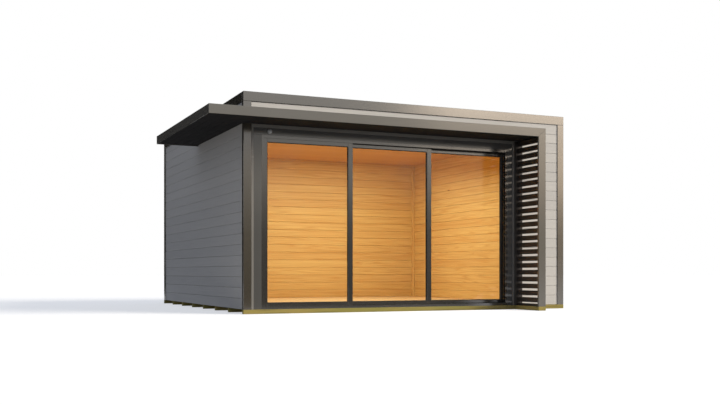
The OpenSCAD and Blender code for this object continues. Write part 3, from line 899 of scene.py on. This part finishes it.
def bead(low, high, face, out):
    """A bead round a pane: a quarter round carried along the four edges of its opening.

    For t from 0 to a quarter turn, the bead stands bead_w * cos t in from the edge and
    bead_w * sin t off the glass, and it closes along the edge and the glass.
    """
    turn = np.linspace(0, np.pi / 2, 5)
    inset = np.append(bead_w * np.cos(turn), 0.0)
    stand = np.append(bead_w * np.sin(turn), 0.0)
    corner = np.array([(0, 0), (1, 0), (1, 1), (0, 1)])
    size = np.array([high[X] - low[X], high[Z] - low[Z]])
    inward = 1 - 2 * corner
    place = np.array([low[X], low[Z]]) + corner * size
    flat = place[:, None] + inward[:, None] * inset[None, :, None]
    points = np.empty((4, len(inset), 3))
    points[..., X] = flat[..., 0]
    points[..., Y] = face + out * stand
    points[..., Z] = flat[..., 1]
    count = len(inset)
    i, j = np.meshgrid(np.arange(4), np.arange(count), indexing="ij")
    k, n = (i + 1) % 4, (j + 1) % count
    here, after = i * count, k * count
    quads = np.stack([here + j, after + j, after + n, here + n], -1).reshape(-1, 4)
    if out < 0:
        quads = quads[:, ::-1]
    return points.reshape(-1, 3), quads.tolist(), (j < count - 2).ravel()


bead_w = 0.005
glazing = clear_glass()
beading = bead_rubber()
for name, body in sashes:
    pane_low, pane_high = np.array(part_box(name + "_glass"))
    clothe(glazing, name + "_glass")
    seen_low = pane_low + (glass_in, 0, glass_in)
    seen_high = pane_high - (glass_in, 0, glass_in)
    beads = [bead(seen_low, seen_high, pane_low[Y], -1), bead(seen_low, seen_high, pane_high[Y], 1)]
    piece(name + "_glazing_beads", beads, beading, "door_frame", body)


# Entrance sensor: a moulded plate with a bright domed cover, fixed to the lining over the
# left end of the door.
def turned(centre, radii, depths):
    """A turned shape: rings of the given radii, at depths in front of the lining."""
    around = 40
    turn = np.linspace(0, 2 * np.pi, around, endpoint=False)
    radii, depths = np.array(radii)[:, None], np.array(depths)[:, None]
    points = np.empty((len(radii), around, 3))
    points[..., X] = centre[X] + radii * np.cos(turn)
    points[..., Y] = centre[Y] - depths
    points[..., Z] = centre[Z] + radii * np.sin(turn)
    return woven(points, curved=lambda i, j: np.array(True))


def moulded(name, colour, rough):
    """Moulded plastic with a light mottle."""
    plastic = Finish(name)
    mottle = plastic.noise(plastic.stretched((300.0, 300.0, 300.0)), detail=2.0)
    paler = tuple(min(channel * 1.12, 0.9) for channel in colour)
    tint = plastic.blend(mottle, rgb(*colour), rgb(*paler))
    return plastic.surface(Base_Color=tint, Roughness=mottle * 0.1 + rough)


sensor_low, sensor_high = np.array(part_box("entrance_sensor"))
sensor_r = (sensor_high[X] - sensor_low[X]) / 2
sensor_mid = (sensor_low + sensor_high) / 2
sensor_spot = (sensor_mid[X], sensor_high[Y], sensor_mid[Z])
plate_t = 0.008
dome_r = 0.022
bend = np.linspace(0, np.pi / 2, 6)
plate_edge = 0.003
plate = turned(
    sensor_spot,
    [sensor_r, *(sensor_r - plate_edge * (1 - np.cos(bend))), dome_r],
    [0.0, *(plate_t - plate_edge * (1 - np.sin(bend))), plate_t],
)
dome_share = 0.97
arc = np.linspace(0, np.pi / 2 * dome_share, 12)
dome = turned(sensor_spot, dome_r * np.cos(arc), plate_t + dome_r * np.sin(arc))
silver = moulded("silver_plastic", (0.42, 0.43, 0.43), 0.25)
piece("sensor", [plate, dome], silver, "sensor_plastic", "building", "entrance_sensor")


# Studio: a pale floor that keeps the shadow, a white surround, a broad soft key light on the
# right, a light beside it that shows in gloss alone, and a soft light under the ceiling of
# the room. Felt and fading cards that show in gloss alone shape what the coats mirror.
def seen_rays(tree):
    """1 for rays that show the surround directly, in a mirror or through glass, else 0."""
    path = [tree.node("LightPath", out=name) for name in
            ("Is Camera Ray", "Is Glossy Ray", "Is Transmission Ray")]
    total = path[0] + path[1] + path[2]
    return total.math("MINIMUM", total, 1.0)


floor_reach = 120.0
ground = bpy.data.meshes.new("studio_floor")
floor_drop = 0.001
square = np.array([(-1, -1, 0), (1, -1, 0), (1, 1, 0), (-1, 1, 0)]) * floor_reach
square = square - (0, 0, floor_drop)
ground.from_pydata(square.tolist(), [], [(0, 1, 2, 3)])
pale = Finish("studio_floor")
lit = pale.node("BsdfDiffuse", {}, {"Color": rgb(0.38, 0.38, 0.38)})
glow = pale.node("Emission", {}, {"Color": rgb(0.53, 0.54, 0.56), "Strength": 1.0})
shown = pale.node("AddShader", {}, {
    0: pale.node("BsdfDiffuse", {}, {"Color": rgb(0.55, 0.55, 0.55)}),
    1: glow,
})
ground.materials.append(pale.ended(pale.node("MixShader", {}, {0: seen_rays(pale), 1: lit, 2: shown})))
studio_floor = bpy.data.objects.new("studio_floor", ground)
bpy.context.scene.collection.objects.link(studio_floor)

surround_light = 0.33
world = bpy.data.worlds.new("studio")
world.use_nodes = True
bpy.context.scene.world = world
sky = Finish("studio", world.node_tree)
tint = sky.blend(seen_rays(sky), rgb(0.90, 1.0, 1.22), rgb(1.0, 1.0, 1.0))
strength = seen_rays(sky) * (1 - surround_light) + surround_light
sky.node("OutputWorld", {}, {
    "Surface": sky.node("Background", {}, {"Color": tint, "Strength": strength}),
})


def lamp(name, kind, aim, **settings):
    """A lamp that shines against the direction aim."""
    data = bpy.data.lights.new(name, kind)
    for key, value in settings.items():
        setattr(data, key, value)
    made = bpy.data.objects.new(name, data)
    made.rotation_euler = Vector(aim).to_track_quat("Z", "Y").to_euler()
    bpy.context.scene.collection.objects.link(made)
    return made


def bearing(right, up):
    """A direction from the front, turned to the right and raised by angles in degrees."""
    right, up = np.radians((right, up))
    return np.array([np.sin(right) * np.cos(up), -np.cos(right) * np.cos(up), np.sin(up)])


key_light = lamp(
    "key_light", "SUN", bearing(50, 27), energy=4.4, angle=np.radians(36), color=(1.0, 0.92, 0.80),
)
key_light.visible_glossy = False
gloss_aim = bearing(42, 18.5)
gloss_far = 26.0
gloss_light = lamp(
    "gloss_light", "AREA", gloss_aim, energy=800.0, shape="RECTANGLE", size=14.0, size_y=5.0,
    color=(1.0, 0.80, 0.60),
)
gloss_light.location = gloss_aim * gloss_far
gloss_light.visible_camera = False
gloss_light.visible_diffuse = False
gloss_light.visible_transmission = False
room_light_deep = 1.7
room_light_drop = 0.24
room_light = lamp(
    "room_light", "AREA", (0, -0.1, 1), energy=71.0, shape="RECTANGLE", size=2.7, size_y=2.4,
    color=(1.0, 0.97, 0.92),
)
room_light.location = (
    (room_low[X] + room_high[X]) / 2, room_low[Y] + room_light_deep, ceiling_z - room_light_drop,
)
room_light.visible_camera = False
room_light.visible_glossy = False


def upright(first, last, height):
    """Corners of a card that stands on the floor along a line."""
    return [(*first, 0.0), (*last, 0.0), (*last, height), (*first, height)]


def spread(*spots):
    """Corners of a card that lies a millimetre over the floor."""
    lift = 0.001
    return [(*spot, lift) for spot in spots]


def card(name, corners, finish):
    """A flat card of four corners that shows in gloss alone."""
    mesh = bpy.data.meshes.new(name)
    mesh.from_pydata(corners, [], [(0, 1, 2, 3)])
    mesh.materials.append(finish)
    made = bpy.data.objects.new(name, mesh)
    made.visible_camera = False
    made.visible_diffuse = False
    made.visible_shadow = False
    made.visible_transmission = False
    bpy.context.scene.collection.objects.link(made)


black = Finish("black_felt")
felt = black.ended(black.node("BsdfDiffuse", {}, {"Color": rgb(0.01, 0.01, 0.01)}))
card("side_card", upright((-3.0, 20.0), (-12.0, 0.0), 12.0), felt)
card("back_card", upright((3.0, 8.0), (-6.0, 8.0), 2.0), felt)
card("floor_card", spread((-40.0, -2.7), (-40.0, -36.0), (23.4, -36.0), (1.6, -2.7)), felt)
card("left_floor_card", spread((-1.93, -2.1), (-1.93, -1.4), (-5.4, 13.0), (-7.4, 12.0)), felt)
fade = Finish("fading_card")
place = fade.node("TexCoord", out="Object")
card_x = fade.node("SeparateXYZ", {}, {0: place}, out=X)
card_z = fade.node("SeparateXYZ", {}, {0: place}, out=Z)
along_card = fade.ease(card_x, 0.0, 26.0)
right_part = fade.ease(card_x, 15.5, 20.0)
up_card = fade.ease(card_z, 2.6, 4.8)
level = up_card * (0.6 + 0.4 * along_card) + 0.2 * along_card
warm = fade.blend(right_part, rgb(1.0, 0.92, 0.80), rgb(3.4, 2.7, 2.0))
faded = fade.blend(level, rgb(0.02, 0.02, 0.02), warm)
fading = fade.ended(fade.node("Emission", {}, {"Color": faded}))
card("front_card", upright((30.0, -20.0), (-6.0, -36.0), 6.5), fading)

# Camera: low and level, to the left of the front, as the photograph was taken. The lens is
# raised by its shift and not tilted, so that uprights stay upright.
eye = bpy.data.cameras.new("camera")
eye.sensor_width = 36.0
eye.lens = 46.745
eye.shift_y = 0.0973
eye.clip_end = 500.0
camera = bpy.data.objects.new("camera", eye)
camera.location = (-4.9737, -11.8589, 0.4666)
camera.rotation_euler = np.radians((90.0, 0.0, -24.068))
bpy.context.scene.collection.objects.link(camera)
bpy.context.scene.camera = camera
bpy.context.scene.view_settings.view_transform = "Standard"
